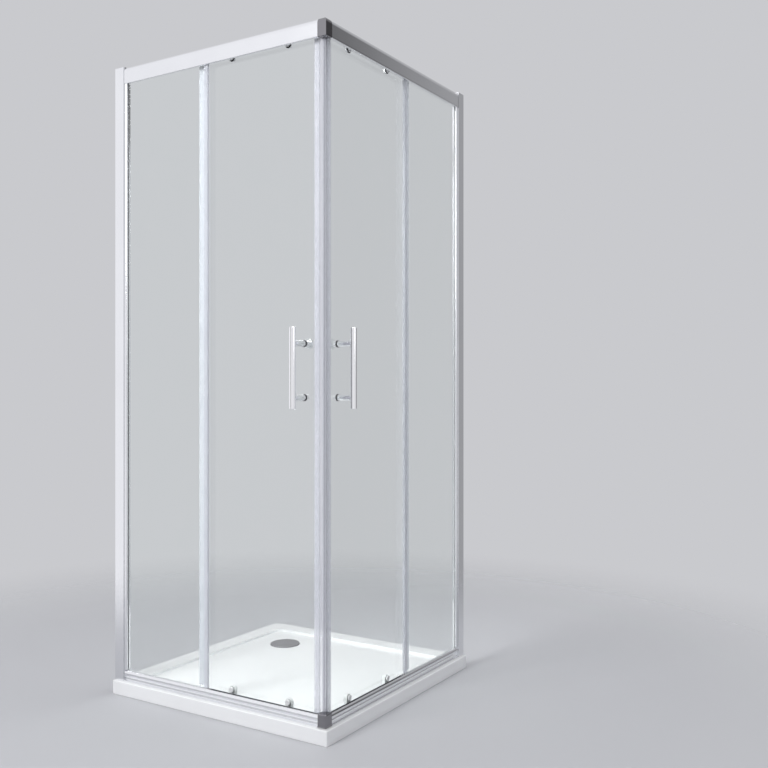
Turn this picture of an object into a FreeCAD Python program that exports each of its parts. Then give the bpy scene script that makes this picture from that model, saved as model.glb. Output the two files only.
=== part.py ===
import FreeCAD, Part
import os
import Sketcher
from FreeCAD import Vector

# A square corner-entry shower enclosure on its tray. Two sliding doors meet at the front corner.
# X runs along the front (the -Y face), Y along the side (the +X face), Z up. The origin is the centre of
# the tray's underside. "In" is the distance inward from the tray's front edge, "along" the distance from
# the front corner along the front, and "wall" the distance from the wall that the front panel meets.
# Every front piece has a twin on the side, its mirror image in the diagonal plane through the corner.

doc = FreeCAD.newDocument("ShowerEnclosure")

SIZES = [
    # tray and waste
    ("tray_side", 800.0),
    ("tray_height", 40.0),
    ("tray_corner_radius", 4.0),
    ("tray_edge_radius", 3.0),
    ("basin_margin", 62.0),
    ("basin_depth", 8.0),
    ("basin_corner_radius", 35.0),
    ("drain_offset", 213.0),
    ("drain_hole_radius", 45.0),
    ("flange_radius", 51.0),
    ("flange_thickness", 2.5),
    ("flange_drop", 1.0),
    ("waste_wall", 2.5),
    ("waste_clearance", 2.0),
    ("waste_floor_height", 2.0),
    ("outlet_radius", 20.0),
    ("outlet_wall", 3.0),
    ("outlet_length", 13.0),
    ("waste_seal_thickness", 2.0),
    ("cover_radius", 50.0),
    ("cover_thickness", 2.5),
    ("cover_gap", 1.5),
    ("cover_peg_radius", 3.0),
    # frame
    ("frame_height", 1864.0),
    ("face_inset", 11.0),
    ("skin", 2.0),
    ("fit_gap", 0.3),
    ("wall_profile_width", 36.0),
    ("wall_profile_depth", 25.0),
    ("wall_hole_radius", 3.0),
    ("wall_hole_end", 82.0),
    ("wall_hole_inner_pitch", 580.0),
    ("jamb_start", 16.0),
    ("jamb_web", 38.3),
    ("jamb_reach", 46.5),
    ("jamb_wall", 1.8),
    ("jamb_nose_radius", 3.5),
    ("jamb_inner_lip", 5.0),
    ("jamb_screw_radius", 2.0),
    ("jamb_screw_head_radius", 3.8),
    ("jamb_screw_head", 1.6),
    ("jamb_screw_length", 8.0),
    ("jamb_screw_pitch", 780.0),
    ("cap_radius", 5.5),
    ("cap_height", 2.6),
    # rails
    ("top_rail_height", 51.0),
    ("bottom_rail_height", 33.0),
    ("rail_width", 43.0),
    ("slot_outer", 7.0),
    ("slot_width", 8.0),
    ("slot_wall", 2.0),
    ("slot_roof", 5.0),
    ("slot_roof_height", 25.0),
    ("web_lift", 7.0),
    ("lip_lift", 20.0),
    ("lip_thickness", 2.5),
    ("lip_width", 11.0),
    ("bead_width", 2.0),
    ("bead_height", 2.0),
    ("bead_in", 34.5),
    ("port_radius", 1.9),
    ("slot_floor_height", 13.0),
    ("foot_height", 3.5),
    ("waist_in", 5.0),
    ("roll_in", 2.0),
    ("roll_start", 19.0),
    ("roll_end", 32.0),
    ("roll_radius", 10.0),
    ("waist_radius", 15.0),
    ("rib_in", 34.0),
    ("rib_width", 1.4),
    ("rib_height", 17.0),
    ("sill_height", 8.0),
    ("toe_slope", 1.0),
    # corner blocks
    ("block_side", 28.0),
    ("block_edge_radius", 3.0),
    ("low_block_inset", 12.0),
    ("low_block_height", 36.5),
    ("tongue_length", 27.0),
    ("tongue_clearance", 0.4),
    ("top_tongue_width", 7.5),
    ("top_tongue_height", 12.0),
    # screws that hold the rails
    ("screw_radius", 1.85),
    ("screw_head_radius", 3.3),
    ("screw_head", 2.2),
    ("screw_length", 10.5),
    ("screw_from_block", 14.0),
    # glass and its seals
    ("glass_thickness", 5.0),
    ("fixed_glass_in", 19.5),
    ("door_glass_in", 34.5),
    ("panel_overlap", 41.5),
    ("jamb_glass_gap", 1.5),
    ("glass_bed", 2.0),
    ("gasket_depth", 7.0),
    ("door_lead", 50.0),
    ("door_trail", 473.0),
    ("door_bottom", 58.0),
    ("door_top_cover", 34.0),
    ("seal_wall", 1.2),
    ("seal_leg", 16.0),
    ("seal_end_gap", 0.5),
    ("seal_tuck", 12.0),
    ("fixed_leg", 12.0),
    ("fixed_arm_reach", 5.0),
    ("trail_arm_reach", 6.7),
    ("arm_gap", 0.5),
    ("head_outer", 28.0),
    ("head_shoulder", 45.0),
    ("head_inner", 43.3),
    ("magnet_width", 10.0),
    ("magnet_thickness", 2.4),
    ("magnet_cover", 0.9),
    ("meeting_gap", 0.4),
    # door hangers and top wheels
    ("hanger_first", 155.0),
    ("hanger_pitch", 200.0),
    ("hanger_radius", 10.0),
    ("hanger_thickness", 2.5),
    ("wheel_tread_radius", 7.2),
    ("wheel_flange_radius", 9.0),
    ("wheel_width", 6.0),
    ("wheel_groove", 3.0),
    ("axle_radius", 2.5),
    ("axle_head_radius", 4.0),
    ("axle_head", 1.2),
    ("running_gap", 0.05),
    ("bolt_radius", 3.0),
    ("bolt_head_radius", 8.0),
    ("bolt_head", 3.2),
    ("bolt_head_edge", 2.0),
    ("bolt_socket_radius", 2.2),
    ("bolt_socket", 1.5),
    ("glass_hole_radius", 4.0),
    ("bolt_above_rail", 11.0),
    ("nose_width", 10.0),
    ("nose_depth", 5.5),
    ("stop_length", 12.0),
    ("stop_height", 8.0),
    ("door_travel", 275.0),
    # sprung bottom rollers
    ("housing_radius", 10.0),
    ("housing_centre", 78.0),
    ("housing_bottom", 60.0),
    ("housing_back", 1.7),
    ("housing_depth", 10.7),
    ("housing_wall", 1.4),
    ("well_height", 7.0),
    ("carriage_height", 14.0),
    ("carriage_bottom", 59.5),
    ("carriage_cheek", 1.0),
    ("carriage_travel", 5.0),
    ("foot_wheel_tread", 6.3),
    ("foot_wheel_flange", 7.8),
    ("foot_wheel_width", 4.4),
    ("foot_wheel_groove", 2.2),
    ("foot_axle_radius", 1.5),
    ("spring_radius", 3.0),
    ("spring_wire", 0.7),
    ("tab_width", 8.0),
    ("tab_height", 3.0),
    ("tab_reach", 5.5),
    ("tab_below_top", 6.0),
    # handle
    ("handle_along", 101.5),
    ("handle_bar_out", 14.5),
    ("handle_bar_radius", 9.5),
    ("handle_edge", 1.0),
    ("handle_bottom", 875.0),
    ("handle_top", 1092.5),
    ("handle_low_post", 905.0),
    ("handle_post_pitch", 145.0),
    ("post_radius", 8.5),
    ("stud_radius", 4.0),
    ("stud_end", 10.0),
    ("washer_thickness", 1.0),
    ("washer_radius", 9.5),
    ("knob_stem_radius", 8.0),
    ("knob_stem_length", 15.0),
    ("knob_radius", 14.5),
    ("knob_thickness", 9.0),
    ("nut_length", 12.0),
    ("nut_end_radius", 5.5),
]

sheet = doc.addObject("Spreadsheet::Sheet", "Sizes")
for row, (alias, number) in enumerate(SIZES, start=1):
    sheet.set("A%d" % row, alias)
    sheet.set("B%d" % row, str(number))
    sheet.setAlias("B%d" % row, alias)
doc.recompute()


class Term:
    """A size worked out from the sheet: the expression that binds it, and its present value."""

    def __init__(self, text, value):
        self.text = text
        self.value = value

    def joined(self, other, sign, value, swap=False):
        first, second = (other, self) if swap else (self, other)
        return Term("(%s %s %s)" % (first.text, sign, second.text), value)

    def __add__(self, other):
        other = term(other)
        return self.joined(other, "+", self.value + other.value)

    def __sub__(self, other):
        other = term(other)
        return self.joined(other, "-", self.value - other.value)

    def __rsub__(self, other):
        other = term(other)
        return self.joined(other, "-", other.value - self.value, swap=True)

    def __mul__(self, other):
        other = term(other)
        return self.joined(other, "*", self.value * other.value)

    def __truediv__(self, other):
        other = term(other)
        return self.joined(other, "/", self.value / other.value)

    def __neg__(self):
        return Term("(0 - %s)" % self.text, -self.value)

    __radd__ = __add__
    __rmul__ = __mul__


def term(value):
    return value if isinstance(value, Term) else Term("%.6f" % value, float(value))


class Sizes:
    """The sheet's sizes by name, each as a Term."""


s = Sizes()
for alias, number in SIZES:
    setattr(s, alias, Term("Sizes." + alias, float(sheet.get(alias))))

nodes = []
ZERO = term(0)
DIAGONAL = 0.5**0.5


def piece(obj, label):
    """Names a finished piece; its label is its file's name."""
    obj.Label = label
    nodes.append(obj)
    return obj


# ---- drawing helpers ----------------------------------------------------------------------------------


def new_body(name):
    return doc.addObject("PartDesign::Body", name)


def new_sketch(body, plane, x=ZERO, y=ZERO, lift=ZERO):
    """A sketch on one of the body's origin planes, moved in the plane by x, y and off it by lift."""
    sketch = body.newObject("Sketcher::SketchObject", body.Name + "_sketch")
    support = [f for f in body.Origin.OriginFeatures if f.Role == plane][0]
    sketch.AttachmentSupport = (support, [""])
    sketch.MapMode = "FlatFace"
    for axis, offset in (("x", x), ("y", y), ("z", lift)):
        sketch.setExpression("AttachmentOffset.Base." + axis, term(offset).text)
    return sketch


def bind(sketch, kind, geometry, size):
    index = sketch.addConstraint(Sketcher.Constraint(kind, *geometry, size.value))
    sketch.setExpression("Constraints[%d]" % index, size.text)


def arc_between(start, end, radius, left):
    """A minor arc from start to end whose centre lies to the left or the right of the way."""
    chord = end - start
    middle = (start + end) * 0.5
    side = Vector(-chord.y, chord.x, 0).normalize() * (1 if left else -1)
    rise = max(radius**2 - (chord.Length / 2) ** 2, 0.0) ** 0.5
    centre = middle + side * rise
    first, last = (start, end) if left else (end, start)
    turn = Vector(1, 0, 0)
    angles = [turn.getAngle(p - centre) * (1 if p.y >= centre.y else -1) for p in (first, last)]
    return Part.ArcOfCircle(Part.Circle(centre, Vector(0, 0, 1), radius), angles[0], angles[1])


def draw_loop(sketch, corners):
    """A closed outline. A corner is (x, y), or (x, y, radius, side) where an arc runs to the next one."""
    points = [Vector(term(c[0]).value, term(c[1]).value, 0) for c in corners]
    ends = []
    for i, corner in enumerate(corners):
        start, end = points[i], points[(i + 1) % len(points)]
        if len(corner) == 2:
            line = sketch.addGeometry(Part.LineSegment(start, end), False)
            ends.append((line, 1, 2))
            continue
        radius, left = corner[2], corner[3] == "left"
        arc = sketch.addGeometry(arc_between(start, end, radius.value, left), False)
        ends.append((arc, 1, 2) if left else (arc, 2, 1))
    for i, (geometry, _, last) in enumerate(ends):
        after, after_first, _ = ends[(i + 1) % len(ends)]
        sketch.addConstraint(Sketcher.Constraint("Coincident", geometry, last, after, after_first))
    for (geometry, first, _), corner in zip(ends, corners):
        bind(sketch, "DistanceX", (-1, 1, geometry, first), term(corner[0]))
        bind(sketch, "DistanceY", (-1, 1, geometry, first), term(corner[1]))
    for (geometry, _, _), corner in zip(ends, corners):
        if len(corner) > 2:
            bind(sketch, "Radius", (geometry,), corner[2])


def draw_circle(sketch, x, y, radius):
    x, y = term(x), term(y)
    circle = Part.Circle(Vector(x.value, y.value, 0), Vector(0, 0, 1), radius.value)
    geometry = sketch.addGeometry(circle, False)
    bind(sketch, "DistanceX", (-1, 1, geometry, 3), x)
    bind(sketch, "DistanceY", (-1, 1, geometry, 3), y)
    bind(sketch, "Radius", (geometry,), radius)


def section(body, plane, start, loops, circles):
    """The sketch of a section that stands at start along the plane's own axis."""
    lift = -term(start) if plane == "XZ_Plane" else term(start)
    sketch = new_sketch(body, plane, lift=lift)
    for loop in loops:
        draw_loop(sketch, loop)
    for circle in circles:
        draw_circle(sketch, *circle)
    return sketch


def add_prism(body, plane, start, length, loops, circles=()):
    """Adds the section, drawn out by length along the plane's positive axis."""
    pad = body.newObject("PartDesign::Pad", body.Name + "_pad")
    pad.Profile = section(body, plane, start, loops, circles)
    pad.Reversed = plane == "XZ_Plane"
    pad.setExpression("Length", length.text)
    doc.recompute()


def cut_prism(body, plane, start, length, loops, circles=()):
    """Cuts the section away over length along the plane's positive axis."""
    before = body.Shape.Volume
    pocket = body.newObject("PartDesign::Pocket", body.Name + "_pocket")
    pocket.Profile = section(body, plane, start, loops, circles)
    pocket.Reversed = plane != "XZ_Plane"
    pocket.setExpression("Length", length.text)
    doc.recompute()
    if body.Shape.isNull() or body.Shape.Volume >= before - 1e-6:
        raise RuntimeError("a pocket of %s cuts nothing" % body.Name)


def prism(name, plane, start, length, loops, circles=()):
    body = new_body(name)
    add_prism(body, plane, start, length, loops, circles)
    return body


def turned(name, centre, along, loop):
    """A body of revolution. Its outline is drawn as (along the axis, from the axis) about centre."""
    x, y, z = (term(c) for c in centre)
    body = new_body(name)
    if along == "Y":
        sketch = new_sketch(body, "YZ_Plane", y, z, x)
    else:
        sketch = new_sketch(body, "XZ_Plane", x, z, -y)
    upright = along == "Z"
    draw_loop(sketch, [(c[1], c[0]) + tuple(c[2:]) if upright else c for c in loop])
    revolution = body.newObject("PartDesign::Revolution", name + "_turn")
    revolution.Profile = sketch
    revolution.ReferenceAxis = (sketch, ["V_Axis" if upright else "H_Axis"])
    revolution.Angle = 360.0
    doc.recompute()
    return body


def tube_loop(start, length, inner, outer):
    end = start + length
    return [(start, inner), (end, inner), (end, outer), (start, outer)]


def rectangle(x0, y0, x1, y1):
    return [(x0, y0), (x1, y0), (x1, y1), (x0, y1)]


def edges_where(shape, test):
    """The names of the edges whose two ends and middle all pass the test."""
    chosen = []
    for number, edge in enumerate(shape.Edges, start=1):
        middle = edge.valueAt((edge.FirstParameter + edge.LastParameter) / 2)
        if all(test(p) for p in [middle] + [v.Point for v in edge.Vertexes]):
            chosen.append("Edge%d" % number)
    return chosen


def round_edges(body, radius, test):
    fillet = body.newObject("PartDesign::Fillet", body.Name + "_fillet")
    chosen = edges_where(body.Shape, test)
    fillet.Base = (fillet.BaseFeature, chosen)
    fillet.setExpression("Radius", radius.text)
    doc.recompute()
    if not chosen or body.Shape.isNull():
        raise RuntimeError("no edge of %s was rounded" % body.Name)


def group(name, members):
    compound = doc.addObject("Part::Compound", name)
    compound.Links = members
    doc.recompute()
    return compound


def mirrored(source, name):
    """The twin of a front piece on the side of the enclosure."""
    twin = doc.addObject("Part::Mirroring", name)
    twin.Source = source
    twin.Normal = Vector(1, 1, 0)
    doc.recompute()
    return twin


def both(front, name):
    """Keeps a front piece and its mirrored twin, named front_... and side_..."""
    piece(front, "front_" + name)
    piece(mirrored(front, "side_" + name), "side_" + name)


# ---- shared places ------------------------------------------------------------------------------------

half = s.tray_side / 2
tray_top = s.tray_height
frame_top = tray_top + s.frame_height
top_rail_z = frame_top - s.top_rail_height
top_rail_end_z = top_rail_z + s.top_rail_height
bottom_rail_end_z = tray_top + s.bottom_rail_height


def inward(distance):
    return distance - half


def along(distance):
    return half - distance


def off_wall(distance):
    return distance - half


slot_in = s.face_inset + s.slot_outer
slot_end_in = slot_in + s.slot_width
slot_middle = slot_in + s.slot_width / 2
rail_back = s.face_inset + s.rail_width
fixed_back = s.fixed_glass_in + s.glass_thickness
door_back = s.door_glass_in + s.glass_thickness
rail_start = s.face_inset + s.block_side
rail_stop = s.jamb_web + s.fit_gap
hangers = [s.hanger_first, s.hanger_first + s.hanger_pitch]

# ---- tray and waste -----------------------------------------------------------------------------------


def near(a, b):
    return abs(a - b) < 0.01


def make_tray():
    body = prism(
        "tray", "XY_Plane", ZERO, tray_top, [rectangle(-half, -half, half, half)]
    )
    round_edges(body, s.tray_corner_radius, lambda p: near(abs(p.x), half.value) and near(abs(p.y), half.value))
    basin = half - s.basin_margin
    rim = half - s.basin_margin / 2
    floor = tray_top - s.basin_depth
    cut_prism(body, "XY_Plane", floor, s.basin_depth, [rectangle(-basin, -basin, basin, basin)])
    round_edges(
        body,
        s.basin_corner_radius,
        lambda p: near(abs(p.x), basin.value) and near(abs(p.y), basin.value),
    )
    seat_depth = s.flange_thickness + s.waste_seal_thickness + s.flange_drop
    drain = (-s.drain_offset, s.drain_offset)
    seat_radius = s.flange_radius + s.fit_gap
    cut_prism(body, "XY_Plane", floor - seat_depth, seat_depth, [], [drain + (seat_radius,)])
    cut_prism(body, "XY_Plane", ZERO, floor, [], [drain + (s.drain_hole_radius,)])
    round_edges(body, s.tray_edge_radius, lambda p: near(p.z, tray_top.value) and outside(p, rim.value))
    return piece(body, "tray")


def outside(point, reach):
    return max(abs(point.x), abs(point.y)) > reach


def make_waste():
    floor = tray_top - s.basin_depth
    centre = (-s.drain_offset, s.drain_offset, ZERO)
    flange_top = floor - s.flange_drop
    flange_bottom = flange_top - s.flange_thickness
    cup = s.drain_hole_radius - s.waste_clearance
    base = s.waste_floor_height
    inside = base + s.waste_wall
    body_loop = [
        (base, s.outlet_radius),
        (base + s.outlet_length, s.outlet_radius),
        (base + s.outlet_length, s.outlet_radius + s.outlet_wall),
        (inside, s.outlet_radius + s.outlet_wall),
        (inside, cup - s.waste_wall),
        (flange_top, cup - s.waste_wall),
        (flange_top, s.flange_radius),
        (flange_bottom, s.flange_radius),
        (flange_bottom, cup),
        (base, cup),
    ]
    piece(turned("drain_body", centre, "Z", body_loop), "drain_body")
    seal_start = flange_bottom - s.waste_seal_thickness
    seal_loop = tube_loop(
        seal_start,
        s.waste_seal_thickness,
        s.drain_hole_radius,
        s.flange_radius - s.fit_gap,
    )
    piece(turned("drain_seal", centre, "Z", seal_loop), "drain_seal")
    cover_z = flange_top + s.cover_gap
    edge = s.cover_thickness / 2
    cover_loop = [
        (cover_z, ZERO),
        (cover_z, s.cover_radius),
        (cover_z + edge, s.cover_radius, edge, "left"),
        (cover_z + s.cover_thickness, s.cover_radius - edge),
        (cover_z + s.cover_thickness, ZERO),
    ]
    cover = turned("drain_cover", centre, "Z", cover_loop)
    peg_reach = (cup - s.waste_wall + s.flange_radius) / 2
    pegs = []
    for x, y in ((1, 0), (-1, 0), (0, 1), (0, -1)):
        pegs.append((centre[0] + peg_reach * x, centre[1] + peg_reach * y, s.cover_peg_radius))
    add_prism(cover, "XY_Plane", flange_top, s.cover_gap, [], pegs)
    piece(cover, "drain_cover")


# ---- wall profiles and jambs --------------------------------------------------------------------------

wall_hole_z = tray_top + s.frame_height / 2


def make_wall_profile():
    outer, inner = inward(s.face_inset), inward(s.face_inset + s.wall_profile_depth)
    wall, edge = off_wall(ZERO), off_wall(s.wall_profile_width)
    web = wall + s.jamb_wall
    loop = [
        (wall, outer),
        (edge, outer),
        (edge, outer + s.skin),
        (web, outer + s.skin),
        (web, inner - s.skin),
        (edge, inner - s.skin),
        (edge, inner),
        (wall, inner),
    ]
    body = prism("front_wall_profile", "XY_Plane", tray_top, s.frame_height, [loop])
    middle = (outer + inner) / 2
    holes = []
    for pitch in (s.frame_height - s.wall_hole_end * 2, s.wall_hole_inner_pitch):
        for sign in (-1, 1):
            holes.append((middle, wall_hole_z + pitch / 2 * sign, s.wall_hole_radius))
    cut_prism(body, "YZ_Plane", wall, s.jamb_wall, [], holes)
    screws = [(off_wall(jamb_screw_wall), z, s.jamb_screw_radius + s.running_gap) for z in jamb_screw_z]
    cut_prism(body, "XZ_Plane", inner - s.skin, s.skin, [], screws)
    both(body, "wall_profile")


jamb_screw_wall = (s.jamb_start + s.wall_profile_width) / 2
jamb_screw_z = [wall_hole_z + s.jamb_screw_pitch * step for step in (-1, 0, 1)]
jamb_outer_in = s.face_inset + s.skin + s.fit_gap
jamb_inner_in = s.face_inset + s.wall_profile_depth - s.skin - s.fit_gap


def make_jamb():
    outer, inner = inward(jamb_outer_in), inward(jamb_inner_in)
    back, web, reach = off_wall(s.jamb_start), off_wall(s.jamb_web), off_wall(s.jamb_reach)
    slot, slot_end = inward(slot_in), inward(slot_end_in)
    lip_end = slot_end + s.jamb_inner_lip
    radius = s.jamb_nose_radius
    outline = [
        (back, outer),
        (reach - radius, outer, radius, "left"),
        (reach, outer + radius),
        (reach, slot),
        (web, slot),
        (web, slot_end),
        (reach, slot_end),
        (reach, lip_end),
        (web, lip_end),
        (web, inner),
        (back, inner),
    ]
    wall = s.jamb_wall
    hollow = rectangle(back + wall, outer + wall, web - wall, inner - wall)
    body = prism("front_jamb", "XY_Plane", tray_top, top_rail_end_z - tray_top, [outline, hollow])
    notch = rectangle(web, outer, reach, inner)
    low = s.bottom_rail_height + s.fit_gap
    high = s.top_rail_height + s.fit_gap
    cut_prism(body, "XY_Plane", tray_top, low, [notch])
    cut_prism(body, "XY_Plane", top_rail_z - s.fit_gap, high, [notch])
    ports = [(slot_middle_y, z, s.screw_radius + s.running_gap) for z in (low_port_z, top_port_z)]
    cut_prism(body, "YZ_Plane", web - wall, wall, [], ports)
    screws = [(off_wall(jamb_screw_wall), z, s.jamb_screw_radius + s.running_gap) for z in jamb_screw_z]
    cut_prism(body, "XZ_Plane", inner - wall, wall, [], screws)
    both(body, "jamb")


slot_middle_y = inward(slot_middle)
top_port_z = top_rail_z + s.slot_roof_height + s.slot_roof / 2
low_floor_z = tray_top + s.slot_floor_height
low_port_z = low_floor_z - s.slot_roof / 2


def make_jamb_screws():
    """The clamping screws on the room side of each wall profile, with their snap-on caps."""
    face = inward(s.face_inset + s.wall_profile_depth)
    screws, caps = [], []
    for z in jamb_screw_z:
        centre = (off_wall(jamb_screw_wall), face, z)
        screw_loop = [
            (-s.jamb_screw_length, ZERO),
            (s.jamb_screw_head, ZERO),
            (s.jamb_screw_head, s.jamb_screw_head_radius),
            (ZERO, s.jamb_screw_head_radius),
            (ZERO, s.jamb_screw_radius),
            (-s.jamb_screw_length, s.jamb_screw_radius),
        ]
        screws.append(turned("jamb_screw", centre, "Y", screw_loop))
        inside = s.jamb_screw_head_radius + s.running_gap
        roof = s.jamb_screw_head + s.running_gap
        bevel = s.cap_height - roof
        cap_loop = [
            (ZERO, inside),
            (roof, inside),
            (roof, ZERO),
            (s.cap_height, ZERO),
            (s.cap_height, s.cap_radius - bevel),
            (roof, s.cap_radius),
            (ZERO, s.cap_radius),
        ]
        caps.append(turned("screw_cap", centre, "Y", cap_loop))
    for name, members in (("jamb_screws", screws), ("jamb_screw_caps", caps)):
        front = group("front_" + name, members)
        piece(group(name, [front, mirrored(front, "side_" + name)]), name)


# ---- rails --------------------------------------------------------------------------------------------


def mitre(body, low, height):
    """Cuts the rail's inner part off along the diagonal, where it meets the other rail."""
    reach = s.rail_width
    start, deep = rail_start, rail_start + reach
    gap = s.meeting_gap / 2
    loop = [
        (along(start), inward(start - gap)),
        (along(deep + gap), inward(deep)),
        (along(start), inward(deep)),
    ]
    cut_prism(body, "XY_Plane", low, height, [loop])


def make_top_rail():
    z = top_rail_z
    top = top_rail_end_z
    face, back = inward(s.face_inset), inward(rail_back)
    slot, web = inward(slot_in), inward(slot_end_in)
    web_back = web + s.slot_wall
    nose = s.slot_outer + s.slot_width
    foot = s.skin * 2
    bead = face + s.bead_in - s.bead_width / 2
    lip = z + s.lip_lift
    lip_top = lip + s.lip_thickness
    roof = z + s.slot_roof_height
    outline = [
        (face, top - nose, nose, "right"),
        (web, top),
        (back, top),
        (back, lip),
        (back - s.lip_width, lip),
        (back - s.lip_width, lip_top),
        (bead, lip_top),
        (bead, lip_top + s.bead_height),
        (bead + s.bead_width, lip_top + s.bead_height),
        (bead + s.bead_width, lip_top),
        (back - s.skin, lip_top),
        (back - s.skin, top - s.skin),
        (web_back, top - s.skin),
        (web_back, z + s.web_lift),
        (web, z + s.web_lift),
        (web, roof),
        (slot, roof),
        (slot, z),
        (face + foot, z, foot, "right"),
        (face, z + foot),
    ]
    chamber = slot - s.slot_wall + s.fit_gap
    chamber_floor = roof + s.slot_roof
    inner_nose = nose - s.skin
    hollow = [
        (face + s.skin, z + foot),
        (chamber, z + foot),
        (chamber, chamber_floor),
        (web, chamber_floor),
        (web, top - s.skin, inner_nose, "left"),
        (face + s.skin, top - nose),
    ]
    length = s.tray_side - rail_start - rail_stop
    port = (slot_middle_y, top_port_z, s.port_radius)
    body = prism("front_top_rail", "YZ_Plane", off_wall(rail_stop), length, [outline, hollow], [port])
    mitre(body, z, s.top_rail_height)
    hole = (along(block_screw_along), slot_middle_y, s.screw_radius + s.running_gap)
    cut_prism(body, "XY_Plane", roof, s.slot_roof, [], [hole])
    both(body, "top_rail")


block_screw_along = rail_start + s.screw_from_block


def make_bottom_rail():
    z = tray_top
    face, back = inward(s.face_inset), inward(rail_back)
    slot, web = inward(slot_in), inward(slot_end_in)
    web_back = web + s.slot_wall
    plate = z + s.skin
    rib = face + s.rib_in - s.rib_width / 2
    outline = [
        (face, z),
        (back, z),
        (back, z + s.sill_height),
        (back - s.skin, z + s.sill_height),
        (back - s.skin, plate),
        (rib + s.rib_width, plate),
        (rib + s.rib_width, z + s.rib_height),
        (rib, z + s.rib_height),
        (rib, plate),
        (web_back, plate),
        (web_back, z + s.bottom_rail_height - s.skin),
        (web, z + s.bottom_rail_height - s.skin),
        (web, low_floor_z),
        (slot, low_floor_z),
        (slot, z + s.roll_end, s.roll_radius, "left"),
        (face + s.roll_in, z + s.roll_start, s.waist_radius, "right"),
        (face + s.waist_in, z + s.foot_height + s.toe_slope),
        (face, z + s.foot_height),
    ]
    chamber = rectangle(slot, plate, web, low_floor_z - s.slot_roof)
    length = s.tray_side - rail_start - rail_stop
    port = (slot_middle_y, low_port_z, s.port_radius)
    body = prism("front_bottom_rail", "YZ_Plane", off_wall(rail_stop), length, [outline, chamber], [port])
    mitre(body, z, s.bottom_rail_height)
    hole = (along(block_screw_along), slot_middle_y, s.screw_radius + s.running_gap)
    cut_prism(body, "XY_Plane", low_floor_z - s.slot_roof, s.slot_roof, [], [hole])
    both(body, "bottom_rail")


def make_rail_screws():
    """Two screws at each end of each rail: one down or up into a corner block, one through a jamb."""
    outline = [
        (-s.screw_head, ZERO),
        (s.screw_length, ZERO),
        (s.screw_length, s.screw_radius),
        (ZERO, s.screw_radius),
        (ZERO, s.screw_head_radius),
        (-s.screw_head, s.screw_head_radius),
    ]
    flipped = [(-a, r) for a, r in reversed(outline)]
    block_x = along(block_screw_along)
    roof = top_rail_z + s.slot_roof_height
    jamb_x = off_wall(s.jamb_web - s.jamb_wall)
    screws = [
        turned("screw_top_block", (block_x, slot_middle_y, roof), "Z", outline),
        turned("screw_low_block", (block_x, slot_middle_y, low_floor_z), "Z", flipped),
        turned("screw_top_jamb", (jamb_x, slot_middle_y, top_port_z), "X", outline),
        turned("screw_low_jamb", (jamb_x, slot_middle_y, low_port_z), "X", outline),
    ]
    front = group("front_rail_screws", screws)
    piece(group("rail_screws", [front, mirrored(front, "side_rail_screws")]), "rail_screws")


def add_tongues(body, start, width, low, height):
    """Adds the block's tongue into the front rail and the one into the side rail, each with a screw hole."""
    side = s.face_inset + s.block_side
    tip = side + s.tongue_length
    add_prism(body, "XY_Plane", low, height, [rectangle(along(tip), start, along(side), start + width)])
    twin = rectangle(-start - width, inward(side), -start, inward(tip))
    add_prism(body, "XY_Plane", low, height, [twin])
    hole = s.screw_radius + s.running_gap
    centre = along(block_screw_along)
    holes = [(centre, slot_middle_y, hole), (-slot_middle_y, -centre, hole)]
    cut_prism(body, "XY_Plane", low, height, [], holes)


def make_top_block():
    """A die-cast corner with the top rails' outer section on both faces, mitred along its upright edge."""
    z, top = top_rail_z, top_rail_end_z
    face, back = inward(s.face_inset), inward(s.face_inset + s.block_side)
    edge = along(s.face_inset)
    nose = s.slot_outer + s.slot_width
    foot = s.skin * 2
    outline = [
        (face, top - nose, nose, "right"),
        (face + nose, top),
        (back, top),
        (back, z),
        (face + foot, z, foot, "right"),
        (face, z + foot),
    ]
    body = prism("top_block", "YZ_Plane", -back, s.block_side, [outline])
    above = [(edge, top - nose), (edge, top), (edge - nose, top, nose, "right")]
    below = [(edge - foot, z), (edge, z), (edge, z + foot, foot, "right")]
    cut_prism(body, "XZ_Plane", face, s.block_side, [above, below])
    tongue = slot_middle_y - s.top_tongue_width / 2 + s.tongue_clearance
    tongue_z = z + s.slot_roof_height + s.slot_roof + s.tongue_clearance
    add_tongues(body, tongue, s.top_tongue_width - s.tongue_clearance, tongue_z, s.top_tongue_height)
    piece(body, "top_corner_block")


def make_low_block():
    """A die-cast corner with rounded edges, as high as the bottom rails and a little more."""
    inner = along(s.face_inset + s.block_side)
    outer = along(s.low_block_inset)
    low, high = tray_top.value, (tray_top + s.low_block_height).value
    reach = s.block_edge_radius.value + 0.01
    outline = rectangle(inner, -outer, outer, -inner)
    body = prism("low_block", "XY_Plane", tray_top, s.low_block_height, [outline])

    def outer_upright(p):
        return near(p.x, outer.value) and near(p.y, -outer.value)

    def outer_rim(p):
        at_face = p.x > outer.value - reach or p.y < reach - outer.value
        return at_face and (near(p.z, low) or near(p.z, high))

    round_edges(body, s.block_edge_radius, outer_upright)
    round_edges(body, s.block_edge_radius, outer_rim)
    height = s.slot_floor_height - s.slot_roof - s.skin - s.tongue_clearance * 2
    add_tongues(
        body,
        inward(slot_in) + s.tongue_clearance,
        s.slot_width - s.tongue_clearance * 2,
        tray_top + s.skin + s.tongue_clearance,
        height,
    )
    piece(body, "bottom_corner_block")


# ---- fixed glass and its seals ------------------------------------------------------------------------

fixed_low = low_floor_z + s.glass_bed
fixed_high = top_rail_z + s.slot_roof_height - s.glass_bed
fixed_start = off_wall(s.jamb_web + s.jamb_glass_gap)
fixed_end = along(s.door_trail - s.panel_overlap)
seal_low = bottom_rail_end_z + s.seal_end_gap
seal_high = top_rail_z + s.web_lift - s.seal_end_gap


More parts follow.
